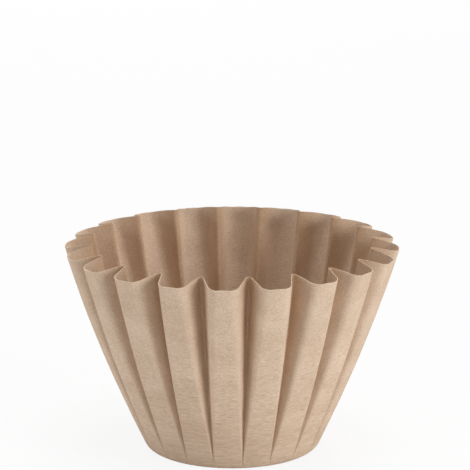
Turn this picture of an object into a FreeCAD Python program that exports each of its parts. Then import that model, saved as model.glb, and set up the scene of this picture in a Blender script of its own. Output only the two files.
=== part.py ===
import FreeCAD
import Part

import math
import os

# Paper coffee filter: a basket pressed from one round sheet of filter paper.
#
# The middle of the sheet stays flat as the floor.  The rest is turned up at a round fold
# and gathered into flutes: broad crests with rounded corners outside, narrow valleys
# between them.  A valley starts as a point on the fold and deepens evenly to the rim, so
# every strip of a flute keeps its direction in plan and lies flat between two heights.
# Every line of paper from the fold to the cut edge is equally long, so the rim dips at
# the crests, which lean out most, and rises at the valleys, which lean out least.
#
# Millimetres, +Z up, origin at the centre of the underside of the floor.  The first
# crest points along +X.

# Sheet
paper_thickness = 0.2

# Basket, measured at the middle of the paper's thickness
flute_count = 20
floor_radius = 23.7  # flat part of the floor
fold_radius = 2.8
fold_turn = math.radians(66)  # from the floor to the start of the wall
rim_height = 61.2  # at a crest
crest_rim_radius = 49.9
valley_rim_radius = 41.0
wall_bow = 1.3  # how far the wall bulges past a straight line, half way up

# Section of a flute
flank_angle = math.radians(77)  # between a flank and the crest beside it, in plan
corner_radius = 3.6  # round between crest and flank, at the rim
valley_radius = 0.8  # round at the bottom of a valley, at the rim
valley_start = 0.5  # share of that round that a valley has just above the fold

# Flat strips that the rounds and the bow are drawn with
corner_strips = 5
valley_steps = 2  # from the flank to the middle of the valley
fold_bands = 3
wall_bands = 7

same_point = 1e-6  # points nearer than this are one

pitch = 2 * math.pi / flute_count
crest_angle = pitch / 4  # the two halves of a crest follow the round of the basket
fold_top_radius = floor_radius + fold_radius * math.sin(fold_turn)
fold_top = paper_thickness / 2 + fold_radius * (1 - math.cos(fold_turn))
mean_rim_radius = (crest_rim_radius + valley_rim_radius) / 2
wall_lean = math.atan2(mean_rim_radius - fold_top_radius, rim_height - fold_top)
half_wall = paper_thickness / 2 / math.cos(wall_lean)  # half the paper, measured level


def at_angle(radius, angle, height):
    """The point at that radius, angle and height about the basket's axis."""
    return FreeCAD.Vector(radius * math.cos(angle), radius * math.sin(angle), height)


def flute_outline(crest, valley, corner, hollow, height):
    """One flute in plan, from a crest to the next: the points between its flat strips.

    crest and valley are their distances from the axis; corner and hollow are the radii
    of the rounds, drawn with strips that touch them.  The strip beside the crest and the
    flank take up the rest, so their lengths come from where the valley has to be."""
    corner_step = (flank_angle - crest_angle) / (corner_strips + 1)
    valley_step = (flank_angle - pitch / 2) / valley_steps
    corners = [(crest_angle + corner_step * i, 2 * corner * math.tan(corner_step / 2))
               for i in range(1, corner_strips + 1)]
    hollows = [(flank_angle - valley_step * i, 2 * hollow * math.tan(valley_step / 2))
               for i in range(1, valley_steps)]
    middle = (pitch / 2, hollow * math.tan(valley_step / 2))

    rounds = corners + hollows + [middle]
    inward = crest - valley * math.cos(pitch / 2) - sum(n * math.sin(a) for a, n in rounds)
    sideways = valley * math.sin(pitch / 2) - sum(n * math.cos(a) for a, n in rounds)
    turn = math.sin(flank_angle - crest_angle)
    crest_strip = (sideways * math.sin(flank_angle) - inward * math.cos(flank_angle)) / turn
    flank = (inward * math.cos(crest_angle) - sideways * math.sin(crest_angle)) / turn

    point = FreeCAD.Vector(crest, 0, height)
    half = [point]
    for angle, length in [(crest_angle, crest_strip)] + corners + [(flank_angle, flank)] + hollows:
        point = point + FreeCAD.Vector(-math.sin(angle), math.cos(angle), 0) * length
        half.append(point)
    other_half = [mirrored(p) for p in reversed(half)]
    return half + other_half


def mirrored(point):
    """The point on the other side of the valley, in the next flute."""
    angle = pitch - math.atan2(point.y, point.x)
    return at_angle(math.hypot(point.x, point.y), angle, point.z)


def fold_outline(radius, height, points):
    """One flute's share of a ring of the fold, with as many points as a wall's outline."""
    valley = at_angle(radius, pitch / 2, height)
    ends = [at_angle(radius, 0, height), at_angle(radius, pitch, height)]
    return ends[:1] + [valley] * (points - 2) + ends[1:]


def wall_outlines(side):
    """One flute's outlines above the fold, for the middle of the paper (side 0), its
    outer skin (side 1) or its inner skin (side -1)."""
    outlines = []
    for band in range(1, wall_bands + 1):
        share = band / wall_bands
        bulge = wall_bow * 4 * share * (1 - share)
        crest = fold_top_radius + (crest_rim_radius - fold_top_radius) * share + bulge
        valley = fold_top_radius + (valley_rim_radius - fold_top_radius) * share + bulge
        hollow = valley_radius * (valley_start + (1 - valley_start) * share)
        outlines.append(flute_outline(
            crest + side * half_wall / math.cos(crest_angle),
            valley + side * half_wall,
            corner_radius * share + side * half_wall,
            hollow - side * half_wall,
            fold_top + (rim_height - fold_top) * share,
        ))
    return outlines


def fold_outlines(side, points):
    """One flute's share of the fold's rings, from the floor to the top of the fold."""
    bend = fold_radius + side * paper_thickness / 2
    outlines = []
    for band in range(fold_bands + 1):
        turn = fold_turn * band / fold_bands
        height = paper_thickness / 2 + fold_radius - bend * math.cos(turn)
        outlines.append(fold_outline(floor_radius + bend * math.sin(turn), height, points))
    return outlines


def paper_lines():
    """The lengths, band by band, of the lines of paper that run up the middle of the wall."""
    walls = wall_outlines(0)
    outlines = fold_outlines(0, len(walls[0]))[-1:] + walls
    return [[(b - a).Length for a, b in zip(line, line[1:])] for line in zip(*outlines)]


def skin_outlines(side):
    """One flute's outlines from the floor to the cut edge, for one skin of the paper."""
    walls = wall_outlines(side)
    rim = []
    for low, high, lengths in zip(walls[-2], walls[-1], paper_lines()):
        left = wall_length - sum(lengths[:-1])
        rim.append(low + (high - low) * (left / lengths[-1]))
    return fold_outlines(side, len(rim)) + walls[:-1] + [rim]


def flat_face(points):
    """A flat face between the points, or none where they meet in a line."""
    corners = []
    for point in points:
        if not any(point.isEqual(other, same_point) for other in corners):
            corners.append(point)
    if len(corners) < 3:
        return []
    return [Part.Face(Part.makePolygon(corners + corners[:1]))]


def strips(lower, upper):
    """The flat strips between two outlines."""
    faces = []
    for i in range(len(lower) - 1):
        faces += flat_face([lower[i], lower[i + 1], upper[i + 1], upper[i]])
    return faces


def cut_edge(outer_rim, inner_rim):
    """The edge of the sheet, square across its thickness."""
    faces = []
    for i in range(len(outer_rim) - 1):
        faces += flat_face([outer_rim[i], outer_rim[i + 1], inner_rim[i + 1]])
        faces += flat_face([outer_rim[i], inner_rim[i + 1], inner_rim[i]])
    return faces


def floor_face(outline):
    """The flat of the floor, on one skin."""
    ring = [at_angle(outline[0].x, pitch / 2 * i, outline[0].z) for i in range(2 * flute_count)]
    return Part.Face(Part.makePolygon(ring + ring[:1]))


def patterned(shapes):
    """Copies of one flute's shapes all round the basket."""
    copies = []
    for i in range(flute_count):
        for shape in shapes:
            turned = shape.copy()
            turned.rotate(FreeCAD.Vector(), FreeCAD.Vector(0, 0, 1), math.degrees(pitch * i))
            copies.append(turned)
    return copies


def joined(shapes):
    """The solid that the faces enclose."""
    shell = Part.makeShell(shapes)
    shell.sewShape()
    solid = Part.Solid(shell)
    if solid.Volume < 0:
        solid.reverse()
    return solid


wall_length = sum(paper_lines()[0])  # on a crest, and so everywhere
outer = skin_outlines(1)
inner = skin_outlines(-1)
flute = []
for skin in (outer, inner):
    for lower, upper in zip(skin, skin[1:]):
        flute += strips(lower, upper)
flute += cut_edge(outer[-1], inner[-1])

paper_filter = joined(patterned(flute) + [floor_face(outer[0]), floor_face(inner[0])])
flat_sheet = 2 * (floor_radius + fold_radius * fold_turn + wall_length)
print("flat sheet", round(flat_sheet, 1), "across, solid", round(paper_filter.Volume), "mm3")

os.makedirs("parts", exist_ok=True)
paper_filter.exportStep("parts/paper_filter.step")
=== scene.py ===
import bmesh
import bpy
import math
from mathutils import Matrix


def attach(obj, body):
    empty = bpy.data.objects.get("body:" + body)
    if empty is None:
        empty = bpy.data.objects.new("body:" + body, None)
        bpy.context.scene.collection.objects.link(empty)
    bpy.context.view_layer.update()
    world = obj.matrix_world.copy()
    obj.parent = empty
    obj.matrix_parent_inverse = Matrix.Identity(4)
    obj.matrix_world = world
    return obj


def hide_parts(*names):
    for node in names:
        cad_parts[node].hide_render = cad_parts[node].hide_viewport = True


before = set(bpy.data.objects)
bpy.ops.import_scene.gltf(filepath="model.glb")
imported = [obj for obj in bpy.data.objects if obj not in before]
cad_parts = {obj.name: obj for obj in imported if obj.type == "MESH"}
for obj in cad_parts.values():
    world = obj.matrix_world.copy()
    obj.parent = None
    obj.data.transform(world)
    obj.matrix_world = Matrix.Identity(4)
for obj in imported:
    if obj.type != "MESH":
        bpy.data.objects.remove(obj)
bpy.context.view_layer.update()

mm = 0.001
print("frame loaded")


# values go to a node's inputs by name or place: a socket is linked, anything else is set
def addNode(tree, kind, values=None, **settings):
    made = tree.nodes.new(kind)
    for name, setting in settings.items():
        setattr(made, name, setting)
    for key, value in (values or {}).items():
        socket = made.inputs[key]
        if isinstance(value, bpy.types.NodeSocket):
            tree.links.new(value, socket)
        else:
            socket.default_value = value
    return made


def calc(tree, operation, *values):
    return addNode(tree, "ShaderNodeMath", dict(enumerate(values)), operation=operation).outputs[0]


def vectorCalc(tree, operation, *values, output="Vector", **more):
    inputs = dict(enumerate(values))
    inputs.update(more)
    return addNode(tree, "ShaderNodeVectorMath", inputs, operation=operation).outputs[output]


def makeVector(tree, x=0.0, y=0.0, z=0.0):
    return addNode(tree, "ShaderNodeCombineXYZ", {0: x, 1: y, 2: z}).outputs[0]


def atAngle(tree, angle, reach):
    way = makeVector(tree, calc(tree, "COSINE", angle), calc(tree, "SINE", angle))
    return vectorCalc(tree, "SCALE", way, Scale=reach)


def pick(tree, chooser, ifNot, ifSo):
    return addNode(tree, "ShaderNodeMix", {0: chooser, 2: ifNot, 3: ifSo}).outputs[0]


def isEqual(tree, a, b):
    return calc(tree, "COMPARE", a, b, 0.1)


def between(tree, value):
    return addNode(tree, "ShaderNodeClamp", {0: value}).outputs[0]


def namedVector(tree, name):
    return addNode(tree, "GeometryNodeInputNamedAttribute", {"Name": name},
                   data_type="FLOAT_VECTOR").outputs[0]


def storeOnPoints(tree, geometry, name, value, kind="FLOAT_VECTOR"):
    return addNode(tree, "GeometryNodeStoreNamedAttribute",
                   {"Geometry": geometry, "Name": name, "Value": value},
                   data_type=kind, domain="POINT").outputs[0]


def positionOf(tree):
    return tree.nodes.new("GeometryNodeInputPosition").outputs[0]


def mixColour(tree, amount, colour, other, way="MIX"):
    return addNode(tree, "ShaderNodeMix", {0: amount, 6: colour, 7: other},
                   data_type="RGBA", blend_type=way).outputs[2]


# the rays on which the floor and the world show as plain white
def seenAsWhite(tree):
    rays = tree.nodes.new("ShaderNodeLightPath").outputs
    return calc(tree, "MAXIMUM", rays["Is Camera Ray"],
                calc(tree, "MAXIMUM", rays["Is Glossy Ray"], rays["Is Transmission Ray"]))


paperFilter = {
    "Flutes": 20,
    "Floor Radius": 23.7 * mm,
    "Fold Radius": 2.8 * mm,
    "Fold Turn": math.radians(66),
    "Rim Height": 60.9 * mm,        # at a crest
    "Crest Radius": 49.8 * mm,      # rim over the crests
    "Crest Half Width": 4.1 * mm,   # from the middle of a crest to its corner
    "Crest Round": 20 * mm,
    "Corner Round": 3.0 * mm,
    "Closing": 0.9,              # how far a flute's corners close up down at the fold
    "Rim Rise": 0.72,               # share of the rise at the valleys left by the trim
    "Valley Radius": 41.6 * mm,     # rim across the valley bottoms
    "Valley Round": 0.8 * mm,
    "Wall Bow": 1.3 * mm,
    "Crest Scatter": 0.35 * mm,     # how unevenly the sheet took its flutes
    "Valley Scatter": 0.45 * mm,
    "Ripple": 0.12 * mm,            # slow waves in the wall
    "Seed": 4,
    "Floor Rows": 5,
    "Fold Rows": 6,
    "Wall Rows": 30,
}
paperThickness = 0.2 * mm
edgeAngle = math.radians(50)        # sharper than this, the shading breaks
samePoint = 0.002 * mm              # points nearer than this are one
pointsPerFlute = 4.0                # crest, corner, valley, corner
paintedShadeSharpness = 1.3               # higher keeps the painted shade to the bottom of a groove
wallWaves = {"scale": 70.0, "growOver": 15.0 * mm}
# how finely the rounds and the straight parts of the rim are cut up
rimSteps = {
    "crest": 3.0,
    "valley": 4.0,
    "corner": 6.0,
    "alongRim": 1.3 * mm,
    "alongFold": 1.0 * mm,
    "mostCuts": 6.0,
}
# each kind of unevenness has its own random draw
draws = {
    "crestShift": 0.0,
    "crestWidth": 11.0,
    "crestReach": 23.0,
    "valleyShift": 31.0,
    "valleyReach": 47.0,
}


# outline of the rim in plan: crest, corner, valley, corner for each flute
def rimOutline(tree, given, pitch, index):
    pointCount = calc(tree, "MULTIPLY", given["Flutes"], pointsPerFlute)
    ring = addNode(tree, "GeometryNodeCurvePrimitiveCircle",
                   {"Resolution": pointCount, "Radius": 1.0}).outputs[0]
    place = calc(tree, "MODULO", index, pointsPerFlute)
    isCrest = isEqual(tree, place, 0.0)
    isValley = isEqual(tree, place, 2.0)
    side = calc(tree, "SUBTRACT", isEqual(tree, place, 1.0), isEqual(tree, place, 3.0))
    nextIndex = calc(tree, "ADD", index, 1.0)
    flute = calc(tree, "FLOOR", calc(tree, "DIVIDE", nextIndex, pointsPerFlute))
    fluteId = calc(tree, "MODULO", flute, given["Flutes"])

    def scatter(amount, step):
        draw = addNode(tree, "FunctionNodeRandomValue",
                       {"Seed": calc(tree, "ADD", given["Seed"], step), "ID": fluteId}).outputs[1]
        return calc(tree, "MULTIPLY", calc(tree, "MULTIPLY_ADD", draw, 2.0, -1.0), amount)

    crestShift = calc(tree, "DIVIDE", scatter(given["Crest Scatter"], draws["crestShift"]),
                      given["Crest Radius"])
    valleyShift = calc(tree, "DIVIDE", scatter(given["Valley Scatter"], draws["valleyShift"]),
                       given["Valley Radius"])
    halfWidth = calc(tree, "MULTIPLY_ADD", scatter(given["Crest Scatter"], draws["crestWidth"]),
                     0.5, given["Crest Half Width"])
    cornerTurn = calc(tree, "MULTIPLY", side,
                      calc(tree, "DIVIDE", halfWidth, given["Crest Radius"]))
    middle = calc(tree, "MULTIPLY", pitch, calc(tree, "MULTIPLY_ADD", isValley, 0.5, flute))
    angle = calc(tree, "ADD", calc(tree, "ADD", middle, cornerTurn),
                 pick(tree, isValley, crestShift, valleyShift))

    # a round cuts its corner off, so the valley's corner lies deeper than its bottom
    flankRun = calc(tree, "SUBTRACT", given["Crest Radius"], given["Valley Radius"])
    halfPitch = calc(tree, "MULTIPLY", pitch, 0.5)
    flankSide = calc(tree, "SUBTRACT",
                     calc(tree, "MULTIPLY", given["Valley Radius"], calc(tree, "SINE", halfPitch)),
                     given["Crest Half Width"])
    halfOpening = calc(tree, "ADD", calc(tree, "ARCTAN2", flankSide, flankRun), halfPitch)
    toCorner = calc(tree, "DIVIDE", 1.0, calc(tree, "SINE", halfOpening))
    deeper = calc(tree, "MULTIPLY", given["Valley Round"], calc(tree, "SUBTRACT", toCorner, 1.0))
    crestReach = calc(tree, "SUBTRACT", given["Crest Radius"],
                      calc(tree, "ABSOLUTE", scatter(given["Crest Scatter"], draws["crestReach"])))
    valleyReach = calc(tree, "ADD", given["Valley Radius"],
                       scatter(given["Valley Scatter"], draws["valleyReach"]))
    valleyReach = calc(tree, "SUBTRACT", valleyReach, deeper)
    corners = addNode(tree, "GeometryNodeSetPosition", {
        "Geometry": ring,
        "Position": atAngle(tree, angle, pick(tree, isValley, crestReach, valleyReach))}).outputs[0]

    # on the fold the two corners beside a valley close up towards it
    halfSteps = calc(tree, "MULTIPLY", calc(tree, "ADD", isValley, side), 0.5)
    valleyAngle = calc(tree, "MULTIPLY", pitch, calc(tree, "ADD", flute, halfSteps))
    foldAngle = pick(tree, given["Closing"], angle, valleyAngle)
    corners = storeOnPoints(tree, corners, "foldWay", atAngle(tree, foldAngle, 1.0))
    rounding = pick(tree, isValley, given["Corner Round"], given["Valley Round"])
    rounding = pick(tree, isCrest, rounding, given["Crest Round"])
    fewer = calc(tree, "MULTIPLY_ADD", isCrest, rimSteps["corner"] - rimSteps["crest"],
                 calc(tree, "MULTIPLY", isValley, rimSteps["corner"] - rimSteps["valley"]))
    steps = calc(tree, "SUBTRACT", rimSteps["corner"], fewer)
    rounded = addNode(tree, "GeometryNodeFilletCurve",
                      {"Curve": corners, "Count": steps, "Radius": rounding, "Limit Radius": True},
                      mode="POLY").outputs[0]

    # more points between the rounds, as many as the rim or the fold needs
    def stepLength(value):
        ahead = addNode(tree, "GeometryNodeFieldAtIndex", {"Index": nextIndex, "Value": value},
                        data_type="FLOAT_VECTOR", domain="POINT").outputs[0]
        return vectorCalc(tree, "DISTANCE", value, ahead, output="Value")

    rimCuts = calc(tree, "DIVIDE", stepLength(positionOf(tree)), rimSteps["alongRim"])
    foldStep = calc(tree, "MULTIPLY", stepLength(namedVector(tree, "foldWay")),
                    given["Floor Radius"])
    foldCuts = calc(tree, "DIVIDE", foldStep, rimSteps["alongFold"])
    cuts = calc(tree, "FLOOR", calc(tree, "MAXIMUM", rimCuts, foldCuts))
    cuts = calc(tree, "MINIMUM", cuts, rimSteps["mostCuts"])
    return addNode(tree, "GeometryNodeSubdivideCurve",
                   {"Curve": rounded, "Cuts": cuts}).outputs[0]


# the sheet is a grid: columns go round, rows go from the middle of the floor to the cut edge
def buildFluteTree():
    tree = bpy.data.node_groups.new("flutedBasket", "GeometryNodeTree")
    for name, value in paperFilter.items():
        kind = "NodeSocketInt" if isinstance(value, int) else "NodeSocketFloat"
        tree.interface.new_socket(name, in_out="INPUT", socket_type=kind)
    tree.interface.new_socket("Paper", in_out="INPUT", socket_type="NodeSocketMaterial")
    tree.interface.new_socket("Basket", in_out="OUTPUT", socket_type="NodeSocketGeometry")
    given = tree.nodes.new("NodeGroupInput").outputs
    pitch = calc(tree, "DIVIDE", math.tau, given["Flutes"])
    index = tree.nodes.new("GeometryNodeInputIndex").outputs[0]
    outline = rimOutline(tree, given, pitch, index)

    columns = addNode(tree, "GeometryNodeAttributeDomainSize", {"Geometry": outline},
                      component="CURVE").outputs["Point Count"]
    underWall = calc(tree, "ADD", given["Floor Rows"], given["Fold Rows"])
    rows = calc(tree, "ADD", calc(tree, "ADD", underWall, given["Wall Rows"]), 1.0)
    sheet = addNode(tree, "GeometryNodeMeshGrid",
                    {"Vertices X": calc(tree, "ADD", columns, 1.0), "Vertices Y": rows}).outputs[0]
    row = calc(tree, "MODULO", index, rows)
    column = calc(tree, "FLOOR", calc(tree, "DIVIDE", calc(tree, "ADD", index, 0.5), rows))
    column = calc(tree, "MODULO", column, columns)

    def fromOutline(value, kind):
        return addNode(tree, "GeometryNodeSampleIndex",
                       {"Geometry": outline, "Value": value, "Index": column},
                       data_type=kind, domain="POINT").outputs[0]

    rim = fromOutline(positionOf(tree), "FLOAT_VECTOR")
    foldWay = fromOutline(namedVector(tree, "foldWay"), "FLOAT_VECTOR")
    foldWay = vectorCalc(tree, "NORMALIZE", foldWay)
    wayRound = tree.nodes.new("GeometryNodeSplineParameter").outputs["Factor"]
    around = calc(tree, "MULTIPLY", math.tau, fromOutline(wayRound, "FLOAT"))

    def share(start, count):
        return between(tree, calc(tree, "DIVIDE", calc(tree, "SUBTRACT", row, start), count))

    floorShare = share(0.0, given["Floor Rows"])
    wallShare = share(underWall, given["Wall Rows"])
    foldShare = share(given["Floor Rows"], given["Fold Rows"])
    turn = calc(tree, "MULTIPLY", given["Fold Turn"], foldShare)

    def foldReach(angle, floorPart):
        return calc(tree, "MULTIPLY_ADD", given["Fold Radius"], calc(tree, "SINE", angle),
                    calc(tree, "MULTIPLY", given["Floor Radius"], floorPart))

    def foldRise(angle):
        return calc(tree, "MULTIPLY", given["Fold Radius"],
                    calc(tree, "SUBTRACT", 1.0, calc(tree, "COSINE", angle)))

    # a line of paper as long as the one on a crest rises higher where it leans less
    foldTop = foldReach(given["Fold Turn"], 1.0)
    lean = vectorCalc(tree, "SUBTRACT", rim, vectorCalc(tree, "SCALE", foldWay, Scale=foldTop))
    crestLean = calc(tree, "SUBTRACT", given["Crest Radius"], foldTop)
    crestRise = calc(tree, "SUBTRACT", given["Rim Height"], foldRise(given["Fold Turn"]))
    lengthSquared = calc(tree, "MULTIPLY_ADD", crestLean, crestLean,
                         calc(tree, "MULTIPLY", crestRise, crestRise))
    leanSquared = vectorCalc(tree, "DOT_PRODUCT", lean, lean, output="Value")
    fullRise = calc(tree, "SQRT", calc(tree, "SUBTRACT", lengthSquared, leanSquared))
    rise = pick(tree, given["Rim Rise"], crestRise, fullRise)
    onRing = vectorCalc(tree, "SCALE", foldWay, Scale=foldReach(turn, floorShare))
    ringPoint = vectorCalc(tree, "ADD", onRing, makeVector(tree, z=foldRise(turn)))
    upWall = vectorCalc(tree, "SCALE", vectorCalc(tree, "ADD", lean, makeVector(tree, z=rise)),
                        Scale=wallShare)
    straight = vectorCalc(tree, "ADD", ringPoint, upWall)
    outward = vectorCalc(tree, "NORMALIZE", vectorCalc(tree, "MULTIPLY", straight, (1.0, 1.0, 0.0)))
    bow = calc(tree, "MULTIPLY", calc(tree, "MULTIPLY", given["Wall Bow"], 4.0),
               calc(tree, "MULTIPLY", wallShare, calc(tree, "SUBTRACT", 1.0, wallShare)))
    point = vectorCalc(tree, "ADD", straight, vectorCalc(tree, "SCALE", outward, Scale=bow))
    point = vectorCalc(tree, "ADD", point, (0.0, 0.0, paperThickness / 2))

    # where each point was on the flat sheet, for the pattern of its fibres
    fromMiddle = calc(tree, "MULTIPLY_ADD", given["Floor Radius"], floorShare,
                      calc(tree, "MULTIPLY_ADD", given["Fold Radius"], turn,
                           calc(tree, "MULTIPLY", calc(tree, "SQRT", lengthSquared), wallShare)))
    sheet = storeOnPoints(tree, sheet, "flatPlace", atAngle(tree, around, fromMiddle))

    # how deep in a groove each point lies, for the painted shade that darkens the paper's colour
    # down in the grooves
    rimReach = vectorCalc(tree, "LENGTH", rim, output="Value")
    inward = calc(tree, "SUBTRACT", given["Crest Radius"], rimReach)
    deepest = calc(tree, "SUBTRACT", given["Crest Radius"], given["Valley Radius"])
    depth = between(tree, calc(tree, "DIVIDE", inward, deepest))
    depth = calc(tree, "POWER", depth, paintedShadeSharpness)
    paintedGrooveShade = calc(tree, "MULTIPLY", depth, calc(tree, "SQRT", wallShare))
    sheet = storeOnPoints(tree, sheet, "paintedGrooveShade", paintedGrooveShade, "FLOAT")
    sheet = addNode(tree, "GeometryNodeSetPosition",
                    {"Geometry": sheet, "Position": point}).outputs[0]
    sheet = addNode(tree, "GeometryNodeMergeByDistance",
                    {"Geometry": sheet, "Distance": samePoint}).outputs[0]

    # slow waves in the wall, none in the floor
    flatPlace = namedVector(tree, "flatPlace")
    waves = addNode(tree, "ShaderNodeTexNoise",
                    {"Vector": flatPlace, "Scale": wallWaves["scale"], "Detail": 1.0}).outputs[0]
    fromCentre = vectorCalc(tree, "LENGTH", flatPlace, output="Value")
    fromFold = calc(tree, "SUBTRACT", fromCentre, foldTop)
    growth = between(tree, calc(tree, "DIVIDE", fromFold, wallWaves["growOver"]))
    swell = calc(tree, "MULTIPLY", calc(tree, "MULTIPLY_ADD", waves, 2.0, -1.0),
                 calc(tree, "MULTIPLY", growth, given["Ripple"]))
    normal = tree.nodes.new("GeometryNodeInputNormal").outputs[0]
    sheet = addNode(tree, "GeometryNodeSetPosition", {
        "Geometry": sheet, "Offset": vectorCalc(tree, "SCALE", normal, Scale=swell)}).outputs[0]

    sheet = addNode(tree, "GeometryNodeRealizeInstances", {"Geometry": sheet}).outputs[0]
    sheet = addNode(tree, "GeometryNodeSetMaterial",
                    {"Geometry": sheet, "Material": given["Paper"]}).outputs[0]
    tree.links.new(sheet, tree.nodes.new("NodeGroupOutput").inputs[0])
    return tree


def takeMesh(piece):
    graph = bpy.context.evaluated_depsgraph_get()
    mesh = bpy.data.meshes.new_from_object(piece.evaluated_get(graph))
    piece.modifiers.clear()
    piece.data = mesh
    return mesh


def buildFilter(paper, cutEdge):
    piece = bpy.data.objects.new("coffeeFilter", bpy.data.meshes.new("start"))
    bpy.context.collection.objects.link(piece)
    flutes = piece.modifiers.new("flutes", "NODES")
    flutes.node_group = buildFluteTree()
    sockets = {item.name: item.identifier for item in flutes.node_group.interface.items_tree
               if item.in_out == "INPUT"}
    for name, value in paperFilter.items():
        flutes[sockets[name]] = value
    flutes[sockets["Paper"]] = paper
    sheet = takeMesh(piece)

    sheet.materials.clear()
    sheet.materials.append(paper)
    sheet.materials.append(cutEdge)
    edit = bmesh.new()
    edit.from_mesh(sheet)
    bmesh.ops.remove_doubles(edit, verts=edit.verts, dist=samePoint)
    bmesh.ops.recalc_face_normals(edit, faces=edit.faces)
    for face in edit.faces:
        face.material_index = 0
    edit.to_mesh(sheet)
    edit.free()

    wall = piece.modifiers.new("wall", "SOLIDIFY")
    wall.thickness = paperThickness
    wall.offset = 0.0
    wall.use_even_offset = True
    wall.material_offset_rim = 1    # the rim of the wall is the cut edge
    mesh = takeMesh(piece)
    mesh.name = "coffeeFilter"
    mesh.shade_smooth()
    mesh.set_sharp_from_angle(angle=edgeAngle)
    return piece


paperLook = {
    "tan": (0.76, 0.598, 0.458, 1.0),
    "darkTan": (0.57, 0.415, 0.295, 1.0),
    "speck": (0.26, 0.16, 0.09, 1.0),
    "cutTan": (0.85, 0.69, 0.53, 1.0),
    # painted shade: this tint darkens the paper's colour down in the grooves
    "paintedShadeTint": (0.80, 0.70, 0.60, 1.0),
    "roughness": 0.88,
    "shine": 0.2,
    "crepeDepth": 0.1 * mm,
}
# scales are per metre of the flat sheet
paperMarks = {
    "cloudScale": 110.0,
    "cloudShare": 0.25,
    "fibreScale": (2100.0, 2300.0, 1.0),
    "fibreShare": 0.65,
    "crepeScale": (330.0, 1600.0, 1.0),
    "crepeShare": 0.1,
    "shadeRange": (0.4, 0.6),
    "speckScale": 420.0,
    "speckRange": (0.03, 0.09),  # a speck is full inside the first and gone at the second
    "speckStrength": 0.6,
    "speckRarity": 0.9,          # share of the places that have none
    "crepeHeight": 0.7,
    "fibreHeight": 0.3,
}


# the marks of the paper, from a place on the flat sheet: clouds, fibres, specks and crepe
def buildFibreGroup():
    tree = bpy.data.node_groups.new("paperFibres", "ShaderNodeTree")
    tree.interface.new_socket("Place", in_out="INPUT", socket_type="NodeSocketVector")
    for name in ("Shade", "Specks", "Height"):
        tree.interface.new_socket(name, in_out="OUTPUT", socket_type="NodeSocketFloat")
    place = tree.nodes.new("NodeGroupInput").outputs[0]
    clouds = addNode(tree, "ShaderNodeTexNoise",
                     {"Vector": place, "Scale": paperMarks["cloudScale"],
                      "Detail": 3.0, "Roughness": 0.6}).outputs[0]
    fibrePlace = vectorCalc(tree, "MULTIPLY", place, paperMarks["fibreScale"])
    fibres = addNode(tree, "ShaderNodeTexNoise",
                     {"Vector": fibrePlace, "Scale": 1.0,
                      "Detail": 4.0, "Roughness": 0.7, "Distortion": 0.8}).outputs[0]
    crepePlace = vectorCalc(tree, "MULTIPLY", place, paperMarks["crepeScale"])
    crepe = addNode(tree, "ShaderNodeTexNoise",
                    {"Vector": crepePlace, "Scale": 1.0,
                     "Detail": 3.0, "Roughness": 0.65, "Distortion": 1.0}).outputs[0]
    shade = calc(tree, "MULTIPLY", crepe, paperMarks["crepeShare"])
    shade = calc(tree, "MULTIPLY_ADD", fibres, paperMarks["fibreShare"], shade)
    shade = calc(tree, "MULTIPLY_ADD", clouds, paperMarks["cloudShare"], shade)
    darkest, lightest = paperMarks["shadeRange"]
    spread = addNode(tree, "ShaderNodeMapRange", {0: shade, 1: darkest, 2: lightest}).outputs[0]
    cells = addNode(tree, "ShaderNodeTexVoronoi",
                    {"Vector": place, "Scale": paperMarks["speckScale"]})
    draw = addNode(tree, "ShaderNodeTexWhiteNoise", {"Vector": cells.outputs["Color"]}).outputs[0]
    full, gone = paperMarks["speckRange"]
    specks = addNode(tree, "ShaderNodeMapRange",
                     {0: cells.outputs["Distance"], 1: full, 2: gone,
                      3: paperMarks["speckStrength"], 4: 0.0}).outputs[0]
    hasSpeck = calc(tree, "GREATER_THAN", draw, paperMarks["speckRarity"])
    specks = calc(tree, "MULTIPLY", specks, hasSpeck)
    height = calc(tree, "MULTIPLY_ADD", crepe, paperMarks["crepeHeight"],
                  calc(tree, "MULTIPLY", fibres, paperMarks["fibreHeight"]))
    out = tree.nodes.new("NodeGroupOutput")
    for socket, value in zip(out.inputs, (spread, specks, height)):
        tree.links.new(value, socket)
    return tree


def buildPaper(name, fibreGroup, light, dark):
    material = bpy.data.materials.new(name)
    material.use_nodes = True
    tree = material.node_tree
    shader = tree.nodes["Principled BSDF"]
    place = addNode(tree, "ShaderNodeAttribute", attribute_name="flatPlace").outputs["Vector"]
    marks = addNode(tree, "ShaderNodeGroup", node_tree=fibreGroup)
    tree.links.new(place, marks.inputs["Place"])
    tone = mixColour(tree, marks.outputs["Shade"], dark, light)
    tone = mixColour(tree, marks.outputs["Specks"], tone, paperLook["speck"])
    # painted shade multiplied into the colour, deepest at the bottom of each groove
    paintedGrooveShade = addNode(tree, "ShaderNodeAttribute", attribute_name="paintedGrooveShade").outputs["Fac"]
    tone = mixColour(tree, paintedGrooveShade, tone, paperLook["paintedShadeTint"], "MULTIPLY")
    tree.links.new(tone, shader.inputs["Base Color"])
    bump = addNode(tree, "ShaderNodeBump", {"Strength": 1.0, "Distance": paperLook["crepeDepth"],
                                            "Height": marks.outputs["Height"]}).outputs[0]
    tree.links.new(bump, shader.inputs["Normal"])
    shader.inputs["Roughness"].default_value = paperLook["roughness"]
    shader.inputs["Specular IOR Level"].default_value = paperLook["shine"]
    return material


fibreGroup = buildFibreGroup()
paper = buildPaper("filterPaper", fibreGroup, paperLook["tan"], paperLook["darkTan"])
cutEdge = buildPaper("cutEdge", fibreGroup, paperLook["cutTan"], paperLook["tan"])
coffeeFilter = buildFilter(paper, cutEdge)
print("filter:", len(coffeeFilter.data.polygons), "faces")

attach(coffeeFilter, "root")
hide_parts("paper_filter")


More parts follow.
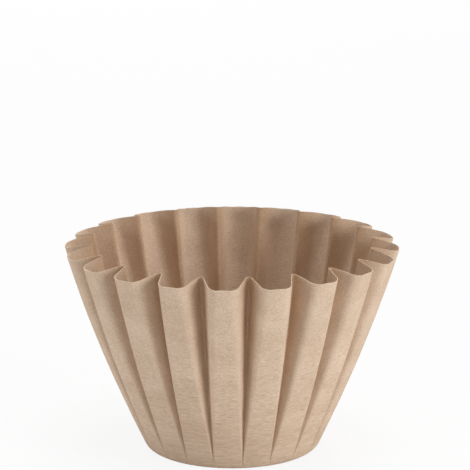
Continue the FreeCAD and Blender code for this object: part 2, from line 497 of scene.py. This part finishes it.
studio = {
    "floorSize": 8.0,
    "floorGap": 0.02 * mm,        # keeps the floor and the filter's underside apart
    "floorColour": (0.95, 0.95, 0.95, 1.0),
    "floorRoughness": 0.9,
    "white": (1.0, 1.0, 1.0, 1.0),
    "shadowShare": 0.12,          # how much of the shadow shows on the white floor
    "ambient": 0.19,
}
# soft boxes round the filter: the front stays dark, so the grooves that face it do too
softBoxes = {
    "softRight": {"power": 10.4, "size": 0.8, "place": (1.1, -0.75, 0.4)},
    "softLeft": {"power": 4.5, "size": 0.8, "place": (-1.15, -0.5, 0.35)},
    "softTop": {"power": 8.0, "size": 0.9, "place": (0.1, 0.1, 1.3)},
    "softBack": {"power": 5.0, "size": 0.8, "place": (-0.2, 1.25, 0.5)},
}


def buildFloor():
    half = studio["floorSize"] / 2
    level = -studio["floorGap"]
    mesh = bpy.data.meshes.new("floor")
    corners = [(-half, -half), (half, -half), (half, half), (-half, half)]
    mesh.from_pydata([(x, y, level) for x, y in corners], [], [(0, 1, 2, 3)])
    floor = bpy.data.objects.new("floor", mesh)
    bpy.context.collection.objects.link(floor)
    material = bpy.data.materials.new("whiteFloor")
    material.use_nodes = True
    tree = material.node_tree
    shader = tree.nodes["Principled BSDF"]
    shader.inputs["Base Color"].default_value = studio["floorColour"]
    shader.inputs["Roughness"].default_value = studio["floorRoughness"]
    shader.inputs["Specular IOR Level"].default_value = 0.0
    white = addNode(tree, "ShaderNodeEmission", {"Color": studio["white"], "Strength": 1.0})
    amount = calc(tree, "MULTIPLY", seenAsWhite(tree), 1.0 - studio["shadowShare"])
    mixed = addNode(tree, "ShaderNodeMixShader",
                    {0: amount, 1: shader.outputs[0], 2: white.outputs[0]}).outputs[0]
    tree.links.new(mixed, tree.nodes["Material Output"].inputs["Surface"])
    mesh.materials.append(material)


def buildLights():
    world = bpy.data.worlds.new("studio")
    bpy.context.scene.world = world
    world.use_nodes = True
    tree = world.node_tree
    background = tree.nodes["Background"]
    background.inputs["Color"].default_value = studio["white"]
    strength = pick(tree, seenAsWhite(tree), studio["ambient"], 1.0)
    tree.links.new(strength, background.inputs["Strength"])

    for name, box in softBoxes.items():
        lamp = bpy.data.lights.new(name, "AREA")
        lamp.energy = box["power"]
        lamp.shape = "DISK"
        lamp.size = box["size"]
        light = bpy.data.objects.new(name, lamp)
        light.location = box["place"]
        aim = -light.location
        light.rotation_euler = aim.to_track_quat("-Z", "Y").to_euler()
        bpy.context.collection.objects.link(light)


view = {
    "elevation": math.radians(16.3),
    "azimuth": math.radians(2.64),
    "distance": 0.986,
    "targetHeight": 30.6 * mm,
    "turnUp": math.radians(1.916),  # the filter stands low in the frame
    "turnRight": math.radians(0.051),
    "lens": 252.6,                  # in mm, as the sensor's width is
    "sensor": 36.0,
}


def buildCamera():
    lens = bpy.data.cameras.new("camera")
    lens.lens = view["lens"]
    lens.sensor_width = view["sensor"]
    camera = bpy.data.objects.new("camera", lens)
    level = view["distance"] * math.cos(view["elevation"])
    camera.location = (level * math.sin(view["azimuth"]), -level * math.cos(view["azimuth"]),
                       view["distance"] * math.sin(view["elevation"]) + view["targetHeight"])
    tilt = math.pi / 2 - view["elevation"] + view["turnUp"]
    camera.rotation_euler = (tilt, 0.0, view["azimuth"] - view["turnRight"])
    bpy.context.collection.objects.link(camera)
    bpy.context.scene.camera = camera


buildFloor()
buildLights()
buildCamera()
bpy.context.scene.view_settings.view_transform = "Standard"
print("studio ready")
